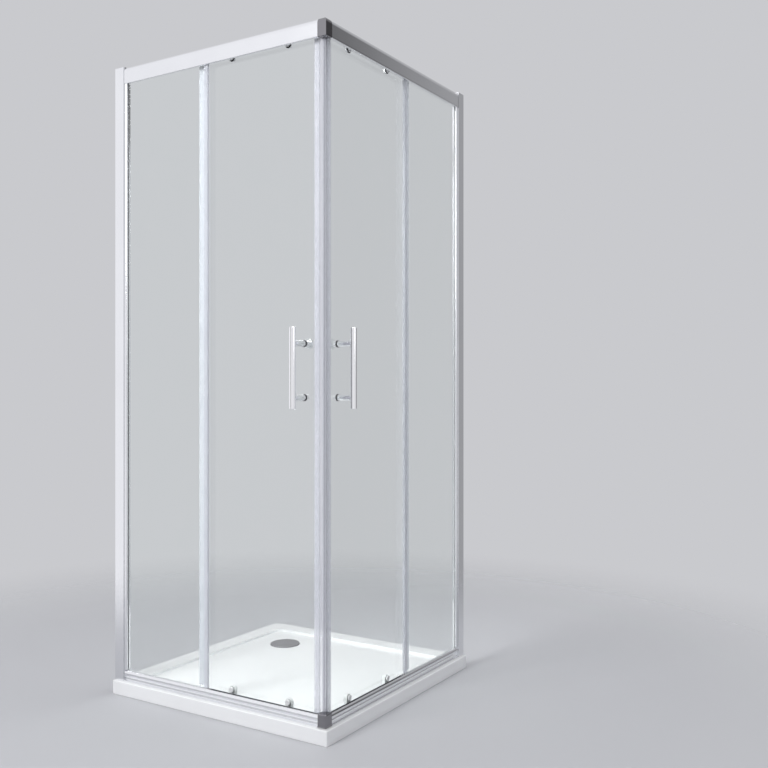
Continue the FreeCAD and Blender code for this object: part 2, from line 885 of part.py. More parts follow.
def make_fixed_glass():
    outline = rectangle(fixed_start, fixed_low, fixed_end, fixed_high)
    length = s.glass_thickness
    both(prism("front_fixed_glass", "XZ_Plane", inward(s.fixed_glass_in), length, [outline]), "fixed_glass")


def make_fixed_gaskets():
    """Glazing strips that fill the slots on both faces of the fixed glass, at the jamb and in both rails."""
    faces = ((slot_in, s.fixed_glass_in), (fixed_back, slot_end_in))
    strips = []
    end = off_wall(s.jamb_reach)
    for near_in, far_in in faces:
        start, thickness = inward(near_in), far_in - near_in
        upright = rectangle(fixed_start, fixed_low, end, fixed_high)
        strips.append(prism("gasket_jamb", "XZ_Plane", start, thickness, [upright]))
        depth = s.gasket_depth
        for low in (bottom_rail_end_z - s.skin - depth, top_rail_z + s.web_lift):
            strip = rectangle(end, low, fixed_end, low + depth)
            strips.append(prism("gasket_rail", "XZ_Plane", start, thickness, [strip]))
    front = group("front_fixed_gaskets", strips)
    piece(group("fixed_glass_gaskets", [front, mirrored(front, "side_fixed_gaskets")]), "fixed_glass_gaskets")


def make_fixed_seals():
    """The clear strip clipped on the free edge of each fixed glass, with its hook for the door's strip."""
    wall = s.seal_wall
    edge = fixed_end
    web = edge + wall
    heel = edge - s.fixed_leg
    outer, inner = inward(s.fixed_glass_in), inward(fixed_back)
    arm = inner + wall + s.fixed_arm_reach
    outline = [
        (heel, outer - wall),
        (web, outer - wall),
        (web, inner + wall),
        (heel + wall, inner + wall),
        (heel + wall, arm),
        (heel, arm),
        (heel, inner),
        (edge, inner),
        (edge, outer),
        (heel, outer),
    ]
    front = prism("front_fixed_seal", "XY_Plane", seal_low, seal_high - seal_low, [outline])
    piece(group("fixed_edge_seals", [front, mirrored(front, "side_fixed_seal")]), "fixed_edge_seals")


# ---- sliding door -------------------------------------------------------------------------------------

bolt_top_z = top_rail_z + s.bolt_above_rail
door_high = top_rail_z + s.door_top_cover
post_heights = [s.handle_low_post, s.handle_low_post + s.handle_post_pitch]


def make_door_glass():
    outline = rectangle(along(s.door_trail), s.door_bottom, along(s.door_lead), door_high)
    holes = [(along(d), z, s.glass_hole_radius) for d in hangers for z in (bolt_top_z, s.housing_centre)]
    stud_hole = s.stud_radius + s.fit_gap
    holes += [(along(s.handle_along), z, stud_hole) for z in post_heights]
    start, thickness = inward(s.door_glass_in), s.glass_thickness
    both(prism("front_door_glass", "XZ_Plane", start, thickness, [outline], holes), "door_glass")


def magnet_loop(grow):
    """The magnet strip's outline in plan, just under the face that lies along the diagonal."""
    middle = (s.head_outer + s.head_inner) / 2
    depth = s.magnet_cover + s.magnet_thickness / 2 + s.meeting_gap / 2
    centre_x = along(middle) - depth * DIAGONAL
    centre_y = inward(middle) - depth * DIAGONAL
    a = (s.magnet_width / 2 + grow) * DIAGONAL
    b = (s.magnet_thickness / 2 + grow) * DIAGONAL
    return [
        (centre_x + a - b, centre_y - a - b),
        (centre_x + a + b, centre_y - a + b),
        (centre_x - a + b, centre_y + a + b),
        (centre_x - a - b, centre_y + a - b),
    ]


def make_magnet_seal():
    """The closing strip: its head stops at the corner blocks, its clip runs on into both rails."""
    wall = s.seal_wall
    outer, inner = inward(s.door_glass_in), inward(door_back)
    edge = along(s.door_lead)
    heel = edge - s.seal_leg
    gap = s.meeting_gap / 2
    shoulder = along(s.head_shoulder)
    outline = [
        (heel, outer - wall),
        (edge, outer - wall),
        (shoulder, inward(s.head_outer)),
        (along(s.head_outer + gap), inward(s.head_outer)),
        (along(s.head_inner + gap), inward(s.head_inner)),
        (edge, inner + wall),
        (heel, inner + wall),
        (heel, inner),
        (edge, inner),
        (edge, outer),
        (heel, outer),
    ]
    head_low = tray_top + s.low_block_height + s.seal_end_gap
    head_high = top_rail_z - s.seal_end_gap
    height = head_high - head_low
    seal = prism("front_magnet_seal", "XY_Plane", head_low, height, [outline, magnet_loop(s.running_gap)])
    clip = [
        (heel, outer - wall),
        (edge + wall, outer - wall),
        (edge + wall, inner + wall),
        (heel, inner + wall),
        (heel, inner),
        (edge, inner),
        (edge, outer),
        (heel, outer),
    ]
    add_prism(seal, "XY_Plane", s.door_bottom, head_low - s.door_bottom, [clip])
    add_prism(seal, "XY_Plane", head_high, top_rail_z + s.seal_tuck - head_high, [clip])
    both(seal, "magnet_seal")
    both(prism("front_magnet_strip", "XY_Plane", head_low, height, [magnet_loop(ZERO)]), "magnet_strip")


def make_trailing_seal():
    wall = s.seal_wall
    outer, inner = inward(s.door_glass_in), inward(door_back)
    edge = along(s.door_trail)
    web = edge - wall
    hook = fixed_end - s.fixed_leg - s.arm_gap
    arm = outer - wall - s.trail_arm_reach
    leg_end = hook - wall * 2
    outline = [
        (web, outer - wall),
        (hook - wall, outer - wall),
        (hook - wall, arm),
        (hook, arm),
        (hook, outer),
        (edge, outer),
        (edge, inner),
        (leg_end, inner),
        (leg_end, inner + wall),
        (web, inner + wall),
    ]
    both(prism("front_trailing_seal", "XY_Plane", seal_low, seal_high - seal_low, [outline]), "trailing_seal")


def make_glass_bolts():
    """Four identical bolts through the door glass: two hold the hangers, two the bottom rollers."""
    outer = inward(s.door_glass_in)
    length = s.glass_thickness + s.housing_back
    edge = s.bolt_head_edge
    socket = s.bolt_socket - s.bolt_head
    outline = [
        (socket, ZERO),
        (length, ZERO),
        (length, s.bolt_radius),
        (ZERO, s.bolt_radius),
        (ZERO, s.bolt_head_radius),
        (edge - s.bolt_head, s.bolt_head_radius, edge, "left"),
        (-s.bolt_head, s.bolt_head_radius - edge),
        (-s.bolt_head, s.bolt_socket_radius),
        (socket, s.bolt_socket_radius),
    ]
    bolts = []
    for distance in hangers:
        for z in (bolt_top_z, s.housing_centre):
            bolts.append(turned("glass_bolt", (along(distance), outer, z), "Y", outline))
    both(group("front_glass_bolts", bolts), "glass_bolts")


# ---- handle -------------------------------------------------------------------------------------------


def make_handle():
    bar_y = inward(-s.handle_bar_out)
    x = along(s.handle_along)
    radius = s.handle_bar_radius
    edge = s.handle_edge
    bar_loop = [
        (s.handle_bottom, ZERO),
        (s.handle_bottom, radius - edge),
        (s.handle_bottom + edge, radius),
        (s.handle_top - edge, radius),
        (s.handle_top, radius - edge),
        (s.handle_top, ZERO),
    ]
    both(turned("front_handle_bar", (x, bar_y, ZERO), "Z", bar_loop), "handle_bar")

    glass = inward(s.door_glass_in)
    seat = glass - s.washer_thickness - bar_y
    stud_end = inward(door_back) + s.stud_end - bar_y
    post_loop = [
        (ZERO, ZERO),
        (stud_end, ZERO),
        (stud_end, s.stud_radius),
        (seat, s.stud_radius),
        (seat, s.post_radius),
        (ZERO, s.post_radius),
    ]
    posts = group(
        "post_blanks", [turned("post", (x, bar_y, z), "Y", post_loop) for z in post_heights]
    )
    saddle = doc.addObject("Part::Cylinder", "post_saddle")
    saddle.setExpression("Radius", radius.text)
    saddle.setExpression("Height", (s.handle_top - s.handle_bottom).text)
    for axis, place in (("x", x), ("y", bar_y), ("z", s.handle_bottom)):
        saddle.setExpression("Placement.Base." + axis, place.text)
    coped = doc.addObject("Part::Cut", "front_handle_posts")
    coped.Base = posts
    coped.Tool = saddle
    doc.recompute()
    both(coped, "handle_posts")

    bore = s.stud_radius + s.running_gap
    washers = []
    for z in post_heights:
        for start in (glass - s.washer_thickness, inward(door_back)):
            ring = tube_loop(ZERO, s.washer_thickness, bore, s.washer_radius)
            washers.append(turned("handle_washer", (x, start, z), "Y", ring))
    both(group("front_handle_washers", washers), "handle_washers")

    inside = inward(door_back) + s.washer_thickness
    bore_end = s.stud_end + s.fit_gap
    stem_end = s.knob_stem_length
    knob_end = stem_end + s.knob_thickness
    rim = s.knob_thickness / 3
    knob_loop = [
        (ZERO, bore),
        (bore_end, bore),
        (bore_end, ZERO),
        (knob_end, ZERO),
        (knob_end, s.knob_radius - rim),
        (knob_end - rim, s.knob_radius),
        (stem_end + rim / 2, s.knob_radius),
        (stem_end, s.knob_radius - rim / 2),
        (stem_end, s.knob_stem_radius),
        (ZERO, s.knob_stem_radius),
    ]
    nut_loop = [
        (ZERO, bore),
        (bore_end, bore),
        (bore_end, ZERO),
        (s.nut_length, ZERO),
        (s.nut_length, s.nut_end_radius),
        (s.nut_length / 3, s.knob_stem_radius),
        (ZERO, s.knob_stem_radius),
    ]
    knob = turned("handle_knob", (x, inside, post_heights[1]), "Y", knob_loop)
    nut = turned("handle_nut", (x, inside, post_heights[0]), "Y", nut_loop)
    both(group("front_handle_knobs", [knob, nut]), "handle_knobs")


# ---- hangers and top wheels ---------------------------------------------------------------------------

track_top = top_rail_z + s.lip_lift + s.lip_thickness + s.bead_height
wheel_axle_z = track_top + s.fit_gap + s.wheel_tread_radius
plate_back = door_back + s.hanger_thickness
bead_middle = s.face_inset + s.bead_in
wheel_in = bead_middle - s.wheel_width / 2


def wheel_loop(width, tread, flange, groove, bore):
    """A grooved wheel: two flanges and a tread between them, from its bore outward."""
    side = (width - groove) / 2
    slope = (flange - tread) / 3
    return [
        (ZERO, bore),
        (width, bore),
        (width, flange),
        (width - side, flange),
        (width - side - slope, tread),
        (side + slope, tread),
        (side, flange),
        (ZERO, flange),
    ]


def make_hangers():
    """Plates on the glass that carry the top wheels, each with its axle and a nose below the track."""
    plates = []
    nose_top = top_rail_z + s.lip_lift - s.arm_gap
    for distance in hangers:
        x = along(distance)
        radius = s.hanger_radius
        low_z = top_rail_z + radius
        outline = [
            (x - radius, low_z, radius, "left"),
            (x, low_z - radius, radius, "left"),
            (x + radius, low_z),
            (x + radius, wheel_axle_z, radius, "left"),
            (x, wheel_axle_z + radius, radius, "left"),
            (x - radius, wheel_axle_z),
        ]
        hole = (x, bolt_top_z, s.bolt_radius + s.running_gap)
        start, thickness = inward(door_back), s.hanger_thickness
        plate = prism("hanger", "XZ_Plane", start, thickness, [outline], [hole])
        plate_y = start + thickness
        nose_low = top_rail_z + radius / 3
        nose = rectangle(x - s.nose_width / 2, nose_low, x + s.nose_width / 2, nose_top)
        add_prism(plate, "XZ_Plane", plate_y, s.nose_depth, [nose])
        axle = wheel_in + s.wheel_width + s.fit_gap - plate_back
        add_prism(plate, "XZ_Plane", plate_y, axle, [], [(x, wheel_axle_z, s.axle_radius)])
        head_y = plate_y + axle
        add_prism(plate, "XZ_Plane", head_y, s.axle_head, [], [(x, wheel_axle_z, s.axle_head_radius)])
        plates.append(plate)
    both(group("front_hangers", plates), "hangers")


def make_top_wheels():
    bore = s.axle_radius + s.running_gap
    outline = wheel_loop(s.wheel_width, s.wheel_tread_radius, s.wheel_flange_radius, s.wheel_groove, bore)
    for number, distance in enumerate(hangers, start=1):
        centre = (along(distance), inward(wheel_in), wheel_axle_z)
        name = "top_wheel_%d" % number
        both(turned("front_" + name, centre, "Y", outline), name)


def make_stops():
    """Buffers clipped on the track in each top rail, at both ends of the door's travel."""
    lip_top = top_rail_z + s.lip_lift + s.lip_thickness
    closed_face = hangers[0] - s.hanger_radius - s.fit_gap
    open_face = hangers[1] + s.hanger_radius + s.door_travel + s.fit_gap
    starts = (closed_face, open_face + s.stop_length)
    back = inward(rail_back - s.skin)
    front_y = inward(door_back + s.fit_gap)
    bead = inward(bead_middle) - s.bead_width / 2 - s.fit_gap
    bead_end = inward(bead_middle) + s.bead_width / 2 + s.fit_gap
    groove_top = lip_top + s.bead_height + s.fit_gap
    outline = [
        (front_y, lip_top),
        (bead, lip_top),
        (bead, groove_top),
        (bead_end, groove_top),
        (bead_end, lip_top),
        (back, lip_top),
        (back, lip_top + s.stop_height),
        (front_y, lip_top + s.stop_height),
    ]
    stops = [prism("stop", "YZ_Plane", along(start), s.stop_length, [outline]) for start in starts]
    front = group("front_stops", stops)
    piece(group("door_stops", [front, mirrored(front, "side_stops")]), "door_stops")


# ---- sprung bottom rollers ----------------------------------------------------------------------------

rib_top = tray_top + s.rib_height
foot_axle_z = rib_top + s.fit_gap + s.foot_wheel_tread
rib_middle = s.face_inset + s.rib_in
foot_wheel_in = rib_middle - s.foot_wheel_width / 2
cheek_in = foot_wheel_in - s.fit_gap - s.carriage_cheek
cheek_out = foot_wheel_in + s.foot_wheel_width + s.fit_gap + s.carriage_cheek
carriage_top = s.carriage_bottom + s.carriage_height
housing_inside = s.housing_radius - s.housing_wall
carriage_half = housing_inside - s.fit_gap
housing_ceiling = s.housing_centre + s.well_height
spring_bottom = carriage_top + s.fit_gap
spring_top = housing_ceiling - s.fit_gap


def make_housings():
    """Arched covers on the glass; each is open below and keeps its carriage on its way up and down."""
    housings = []
    for distance in hangers:
        x = along(distance)
        start = inward(door_back)
        radius = s.housing_radius
        outline = [
            (x - radius, s.housing_bottom),
            (x + radius, s.housing_bottom),
            (x + radius, s.housing_centre, radius, "left"),
            (x, s.housing_centre + radius, radius, "left"),
            (x - radius, s.housing_centre),
        ]
        body = prism("housing", "XZ_Plane", start, s.housing_depth, [outline])
        room_top = carriage_top + s.carriage_travel + s.fit_gap
        inside = rectangle(x - housing_inside, s.housing_bottom, x + housing_inside, room_top)
        cavity = inward(cheek_in - s.fit_gap)
        depth = cheek_out - cheek_in + s.fit_gap * 2
        cut_prism(body, "XZ_Plane", cavity, depth, [inside])
        well = s.spring_radius + s.fit_gap
        seat = rectangle(x - well, s.housing_centre, x + well, housing_ceiling)
        cut_prism(body, "XZ_Plane", cavity, depth, [seat])
        hole = (x, s.housing_centre, s.bolt_radius + s.running_gap)
        cut_prism(body, "XZ_Plane", start, s.housing_back, [], [hole])
        tab_low = carriage_top - s.tab_below_top - s.fit_gap
        tab_high = tab_low + s.tab_height + s.carriage_travel + s.fit_gap * 2
        tab_half = s.tab_width / 2 + s.fit_gap
        slot = rectangle(x - tab_half, tab_low, x + tab_half, tab_high)
        front_wall = cavity + depth
        cut_prism(body, "XZ_Plane", front_wall, s.housing_depth, [slot])
        housings.append(body)
    both(group("front_roller_housings", housings), "roller_housings")


def make_carriages():
    """Forks that slide in the housings. A spring presses each down; lifting its tab frees the door."""
    for number, distance in enumerate(hangers, start=1):
        x = along(distance)
        name = "roller_carriage_%d" % number
        start, depth = inward(cheek_in), cheek_out - cheek_in
        outline = rectangle(x - carriage_half, s.carriage_bottom, x + carriage_half, carriage_top)
        body = prism("front_" + name, "XZ_Plane", start, depth, [outline])
        room = s.foot_wheel_flange + s.arm_gap
        throat = rectangle(x - carriage_half, s.carriage_bottom, x + carriage_half, foot_axle_z + room)
        cut_prism(body, "XZ_Plane", inward(foot_wheel_in - s.fit_gap), depth - s.carriage_cheek * 2, [throat])
        axle = (x, foot_axle_z, s.foot_axle_radius)
        add_prism(body, "XZ_Plane", start, depth, [], [axle])
        tab_low = carriage_top - s.tab_below_top
        tab = rectangle(x - s.tab_width / 2, tab_low, x + s.tab_width / 2, tab_low + s.tab_height)
        add_prism(body, "XZ_Plane", start + depth, s.tab_reach, [tab])
        both(body, name)


def make_foot_wheels():
    bore = s.foot_axle_radius + s.running_gap
    outline = wheel_loop(s.foot_wheel_width, s.foot_wheel_tread, s.foot_wheel_flange, s.foot_wheel_groove, bore)
    for number, distance in enumerate(hangers, start=1):
        centre = (along(distance), inward(foot_wheel_in), foot_axle_z)
        name = "bottom_wheel_%d" % number
        both(turned("front_" + name, centre, "Y", outline), name)


def make_springs():
    """Each roller's compression spring, drawn as a sleeve of the coil's size."""
    length = spring_top - spring_bottom
    for number, distance in enumerate(hangers, start=1):
        centre = (along(distance), inward(rib_middle), spring_bottom)
        outline = tube_loop(ZERO, length, s.spring_radius - s.spring_wire, s.spring_radius)
        name = "roller_spring_%d" % number
        both(turned("front_" + name, centre, "Z", outline), name)


# ---- the whole enclosure ------------------------------------------------------------------------------

make_tray()
make_waste()
make_wall_profile()
make_jamb()
make_jamb_screws()
make_top_rail()
make_bottom_rail()
make_top_block()
make_low_block()
make_rail_screws()
make_fixed_glass()
make_fixed_gaskets()
make_fixed_seals()
make_door_glass()
make_magnet_seal()
make_trailing_seal()
make_glass_bolts()
make_handle()
make_hangers()
make_top_wheels()
make_stops()
make_housings()
make_carriages()
make_foot_wheels()
make_springs()

doc.recompute()
for obj in doc.Objects:
    if "Invalid" in obj.State or "Error" in obj.State:
        raise RuntimeError("%s failed: %s" % (obj.Label, obj.State))
for node in nodes:
    if node.Shape.isNull() or not node.Shape.isValid():
        raise RuntimeError("%s has no valid shape" % node.Label)

os.makedirs("parts", exist_ok=True)
for node in nodes:
    node.Shape.exportStep("parts/%s.step" % node.Label)
print(len(nodes), "pieces written")
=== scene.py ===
import math

import bpy
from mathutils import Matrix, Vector


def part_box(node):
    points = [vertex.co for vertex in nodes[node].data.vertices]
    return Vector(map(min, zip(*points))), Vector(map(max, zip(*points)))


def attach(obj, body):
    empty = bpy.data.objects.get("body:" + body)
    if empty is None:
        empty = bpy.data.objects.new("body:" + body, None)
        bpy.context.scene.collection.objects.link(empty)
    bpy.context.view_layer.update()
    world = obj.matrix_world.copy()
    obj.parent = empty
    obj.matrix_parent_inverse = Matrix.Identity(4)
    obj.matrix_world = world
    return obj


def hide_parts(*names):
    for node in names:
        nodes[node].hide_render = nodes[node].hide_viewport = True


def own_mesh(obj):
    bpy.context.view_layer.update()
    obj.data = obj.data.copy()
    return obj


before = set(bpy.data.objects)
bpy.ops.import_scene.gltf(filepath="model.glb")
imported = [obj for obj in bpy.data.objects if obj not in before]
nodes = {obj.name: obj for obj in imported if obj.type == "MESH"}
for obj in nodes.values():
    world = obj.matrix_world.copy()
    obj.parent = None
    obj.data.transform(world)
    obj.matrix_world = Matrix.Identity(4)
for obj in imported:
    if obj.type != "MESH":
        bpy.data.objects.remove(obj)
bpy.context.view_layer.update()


def add_object(name, data, place=(0.0, 0.0, 0.0)):
    """A new object in the scene that shows this data at this place."""
    new = bpy.data.objects.new(name, data)
    new.location = place
    bpy.context.scene.collection.objects.link(new)
    return new


# ---- camera: the photograph's viewpoint, level, looking past the entry corner --------------------
CAMERA_PLACE = (1.7889, -2.3584, 0.9416)
CAMERA_TURN = math.radians(31.82)
LENS_MM = 43.35
SENSOR_MM = 36.0

camera_data = bpy.data.cameras.new("camera")
camera_data.lens = LENS_MM
camera_data.sensor_width = SENSOR_MM
camera = add_object("camera", camera_data, CAMERA_PLACE)
camera.rotation_euler = (math.pi / 2, 0.0, CAMERA_TURN)
bpy.context.scene.camera = camera
bpy.context.scene.view_settings.view_transform = "Standard"


# ---- small helpers for building materials and the world ------------------------------------------
def rgb(r, g, b):
    return (r, g, b, 1.0)


class Nodes:
    """A node tree under construction: adds nodes and links them by socket name."""

    def __init__(self, tree):
        self.tree = tree
        self.tree.nodes.clear()

    def add(self, kind, **sockets):
        node = self.tree.nodes.new("ShaderNode" + kind)
        for name, value in sockets.items():
            self.feed(node, name.replace("_", " "), value)
        return node

    def feed(self, node, socket, value):
        """Sets a socket, named or numbered, or links it when the value is another node's output."""
        if isinstance(value, bpy.types.NodeSocket):
            self.tree.links.new(value, node.inputs[socket])
        else:
            node.inputs[socket].default_value = value

    def ranged(self, value, low=0.0, high=1.0, start=0.0, end=1.0, smooth=False):
        """A number that runs from low to high as value runs from start to end."""
        node = self.add("MapRange", From_Min=start, From_Max=end, To_Min=low, To_Max=high)
        if smooth:
            node.interpolation_type = "SMOOTHSTEP"
        self.feed(node, "Value", value)
        return node.outputs["Result"]

    def maths(self, operation, first, second):
        node = self.add("Math")
        node.operation = operation
        self.feed(node, 0, first)
        self.feed(node, 1, second)
        return node.outputs[0]

    def either(self, factor, first, second):
        """The first shader where factor is 0 and the second where it is 1."""
        node = self.add("MixShader")
        for index, value in enumerate((factor, first, second)):
            self.feed(node, index, value)
        return node.outputs[0]


class Look(Nodes):
    """A material under construction."""

    def __init__(self, name):
        self.material = bpy.data.materials.new(name)
        self.material.use_nodes = True
        super().__init__(self.material.node_tree)

    def finish(self, shader):
        self.add("OutputMaterial", Surface=shader)
        return self.material

    def place(self, scale=(1.0, 1.0, 1.0)):
        """Coordinates in the object's own metres, stretched by scale."""
        coordinates = self.add("TexCoord").outputs["Object"]
        return self.add("Mapping", Vector=coordinates, Scale=scale).outputs["Vector"]

    def noise(self, place, scale, detail=3.0, roughness=0.55):
        node = self.add("TexNoise", Vector=place, Scale=scale, Detail=detail, Roughness=roughness)
        return node.outputs["Fac"]

    def mixed(self, factor, first, second):
        """The first colour where factor is 0 and the second where it is 1."""
        node = self.add("Mix")
        node.data_type = "RGBA"
        for index, value in ((0, factor), (6, rgb(*first)), (7, rgb(*second))):
            self.feed(node, index, value)
        return node.outputs[2]

    def principled(self, color, gloss, roughness, relief, strength, depth, metallic=0.0):
        """One shader whose roughness runs over its range with gloss and whose bumps follow relief."""
        bump = self.add("Bump", Strength=strength, Distance=depth, Height=relief)
        return self.add(
            "BsdfPrincipled",
            Base_Color=color,
            Metallic=metallic,
            Roughness=self.ranged(gloss, *roughness),
            Normal=bump.outputs["Normal"],
        )


# ---- materials: noise scales are per metre, bump depths in metres --------------------------------
ALONG = {"x": (0.004, 1.0, 1.0), "y": (1.0, 0.004, 1.0), "z": (1.0, 1.0, 0.004)}
WIPED = (1.0, 1.0, 0.35)
BRUSHED = (1.0, 1.0, 0.05)
GLASS_IOR = 1.45
FILM_ROUGHNESS = (0.0, 0.012)
STRIP_ROUGHNESS = 0.1
COAT_ROUGHNESS = 0.06


def drawn_metal(name, color, shade, direction, roughness):
    """Extruded, anodised aluminium: fine die lines along the profile and a faintly uneven film."""
    look = Look(name)
    lines = look.noise(look.place(ALONG[direction]), 900.0, 4.0, 0.6)
    cloud = look.noise(look.place(), 9.0)
    color = look.mixed(cloud, shade, color)
    metal = look.principled(color, lines, roughness, lines, 0.06, 0.0001, metallic=1.0)
    return look.finish(metal.outputs[0])


def plated(name, color, shade, roughness):
    """Plated metal, from mirror to satin, with a slow ripple and a few soft wipe marks."""
    look = Look(name)
    ripple = look.noise(look.place(), 60.0, 2.0)
    marks = look.noise(look.place(WIPED), 24.0, 5.0, 0.65)
    color = look.mixed(marks, color, shade)
    metal = look.principled(color, marks, roughness, ripple, 0.05, 0.0004, metallic=1.0)
    return look.finish(metal.outputs[0])


def brushed_steel(name, color, shade, roughness):
    """Steel with fine brush lines."""
    look = Look(name)
    lines = look.noise(look.place(BRUSHED), 1200.0)
    color = look.mixed(lines, shade, color)
    metal = look.principled(color, lines, roughness, lines, 0.15, 0.0001, metallic=1.0)
    return look.finish(metal.outputs[0])


def moulded(name, color, shade, roughness=(0.3, 0.45), grain=400.0, depth=0.15, coat=0.0):
    """A moulded or cast piece: fine grain in its surface and a little unevenness in its colour."""
    look = Look(name)
    cloud = look.noise(look.place(), 12.0, 4.0)
    fine = look.noise(look.place(), grain)
    color = look.mixed(cloud, shade, color)
    solid = look.principled(color, cloud, roughness, fine, depth, 0.0002)
    solid.inputs["Coat Weight"].default_value = coat
    solid.inputs["Coat Roughness"].default_value = COAT_ROUGHNESS
    return look.finish(solid.outputs[0])


def clear_plastic(name, color, shade, alpha):
    """Clear extruded strip: a thin glossy skin that is part see-through, part milky."""
    look = Look(name)
    haze = look.noise(look.place(), 6.0, 4.0)
    skin = look.add("BsdfPrincipled", Roughness=STRIP_ROUGHNESS, Alpha=alpha)
    look.feed(skin, "Base Color", look.mixed(haze, shade, color))
    return look.finish(skin.outputs[0])


def pane(name, tint, shade):
    """Toughened clear glass, a touch green, with a barely visible film of dried water. It lets the
    lamps through, so that what is behind it isn't in a black shadow."""
    look = Look(name)
    film = look.noise(look.place(), 14.0, 6.0, 0.7)
    glass = look.add("BsdfGlass", IOR=GLASS_IOR)
    look.feed(glass, "Color", look.mixed(film, shade, tint))
    look.feed(glass, "Roughness", look.ranged(film, *FILM_ROUGHNESS))
    clear = look.add("BsdfTransparent", Color=rgb(*tint))
    shadow = look.add("LightPath").outputs["Is Shadow Ray"]
    return look.finish(look.either(shadow, glass.outputs[0], clear.outputs[0]))


SILVER = (0.88, 0.885, 0.905)
SILVER_SHADE = (0.81, 0.815, 0.84)
SILVER_ROUGHNESS = (0.09, 0.15)
RUBBER_ROUGHNESS = (0.5, 0.65)
SMOOTH = {"grain": 90.0, "depth": 0.04}

aluminium = {
    way: drawn_metal("aluminium_" + way, SILVER, SILVER_SHADE, way, SILVER_ROUGHNESS)
    for way in ALONG
}
chrome = plated("chrome", (0.90, 0.90, 0.915), (0.83, 0.83, 0.85), (0.02, 0.05))
bar_silver = plated("bar_silver", (0.94, 0.94, 0.955), (0.90, 0.90, 0.915), (0.09, 0.13))
# Corner-block chrome with a painted dark reflection: its base colour is darkened so its flat faces
# look as if they mirror dark surroundings.
chrome_with_painted_dark_reflection = plated("chrome_with_painted_dark_reflection", (0.30, 0.295, 0.31), (0.26, 0.255, 0.27), (0.03, 0.06))
satin = plated("satin_chrome", (0.36, 0.35, 0.37), (0.34, 0.33, 0.35), (0.28, 0.34))
zinc = plated("zinc", (0.86, 0.86, 0.88), (0.80, 0.80, 0.82), (0.28, 0.36))
steel = brushed_steel("stainless_steel", (0.66, 0.66, 0.67), (0.52, 0.52, 0.53), (0.22, 0.4))
clear_glass = pane("clear_glass", (0.986, 0.994, 0.991), (0.972, 0.988, 0.983))
clear_strip = clear_plastic("clear_strip", (0.90, 0.91, 0.97), (0.84, 0.85, 0.93), 0.3)
closing_strip = clear_plastic("closing_strip", (0.88, 0.89, 0.96), (0.82, 0.83, 0.91), 0.28)
housing_plastic = clear_plastic("housing_plastic", (0.96, 0.965, 0.97), (0.90, 0.91, 0.92), 0.75)
acrylic = moulded(
    "white_acrylic", (0.93, 0.935, 0.945), (0.91, 0.915, 0.925), (0.1, 0.2), coat=0.5, **SMOOTH
)
bolt_cap = moulded(
    "bolt_cap", (0.86, 0.865, 0.88), (0.82, 0.825, 0.84), (0.15, 0.25), coat=0.4, **SMOOTH
)
white_rubber = moulded("white_rubber", (0.84, 0.85, 0.88), (0.78, 0.79, 0.82), (0.4, 0.5))
pale_rubber = moulded("pale_rubber", (0.80, 0.805, 0.83), (0.75, 0.755, 0.78), RUBBER_ROUGHNESS)
washer_rubber = moulded("washer_rubber", (0.22, 0.22, 0.235), (0.18, 0.18, 0.19), RUBBER_ROUGHNESS)
black_rubber = moulded(
    "black_rubber", (0.035, 0.035, 0.038), (0.025, 0.025, 0.027), RUBBER_ROUGHNESS
)
dark_plastic = moulded("dark_plastic", (0.10, 0.10, 0.11), (0.07, 0.07, 0.08))
wheel_plastic = moulded("wheel_plastic", (0.82, 0.82, 0.80), (0.76, 0.76, 0.74))
fork_plastic = moulded("fork_plastic", (0.50, 0.51, 0.53), (0.44, 0.45, 0.47))

# By a node's name, without its face and its number. The rails follow below, by the way they run.
LOOKS = {
    "tray": acrylic,
    "drain_cover": satin,
    "drain_body": dark_plastic,
    "drain_seal": black_rubber,
    "wall_profile": aluminium["z"],
    "jamb": aluminium["z"],
    "jamb_screws": steel,
    "jamb_screw_caps": chrome,
    # The corner blocks take the chrome whose dark colour is a painted dark reflection.
    "top_corner_block": chrome_with_painted_dark_reflection,
    "bottom_corner_block": chrome_with_painted_dark_reflection,
    "rail_screws": steel,
    "fixed_glass": clear_glass,
    "door_glass": clear_glass,
    "fixed_glass_gaskets": pale_rubber,
    "fixed_edge_seals": clear_strip,
    "trailing_seal": clear_strip,
    "magnet_seal": closing_strip,
    "magnet_strip": white_rubber,
    "glass_bolts": bolt_cap,
    "handle_bar": bar_silver,
    "handle_posts": bar_silver,
    "handle_washers": washer_rubber,
    "handle_knobs": bar_silver,
    "hangers": zinc,
    "door_stops": black_rubber,
    "roller_housings": housing_plastic,
    "top_wheel": wheel_plastic,
    "bottom_wheel": wheel_plastic,
    "roller_carriage": fork_plastic,
    "roller_spring": steel,
}
RAIL_LOOKS = {"front_": aluminium["x"], "side_": aluminium["y"]}


def dress(name, obj):
    """Gives a solid its material."""
    face, short = "", name
    for prefix in RAIL_LOOKS:
        if name.startswith(prefix):
            face, short = prefix, name[len(prefix):]
    if short[-2:] in ("_1", "_2"):
        short = short[:-2]
    look = RAIL_LOOKS[face] if short in ("top_rail", "bottom_rail") else LOOKS[short]
    obj.data.materials.clear()
    obj.data.materials.append(look)


for node_name, node in nodes.items():
    dress(node_name, node)

# ---- roller springs: real coils in place of the CAD sleeves --------------------------------------
SPRING_TURNS = 7
SPRING_STEPS = 20
END_TURN_HOLD = 0.7
WIRE_RADIUS = 0.00038
WIRE_ROUNDING = 2


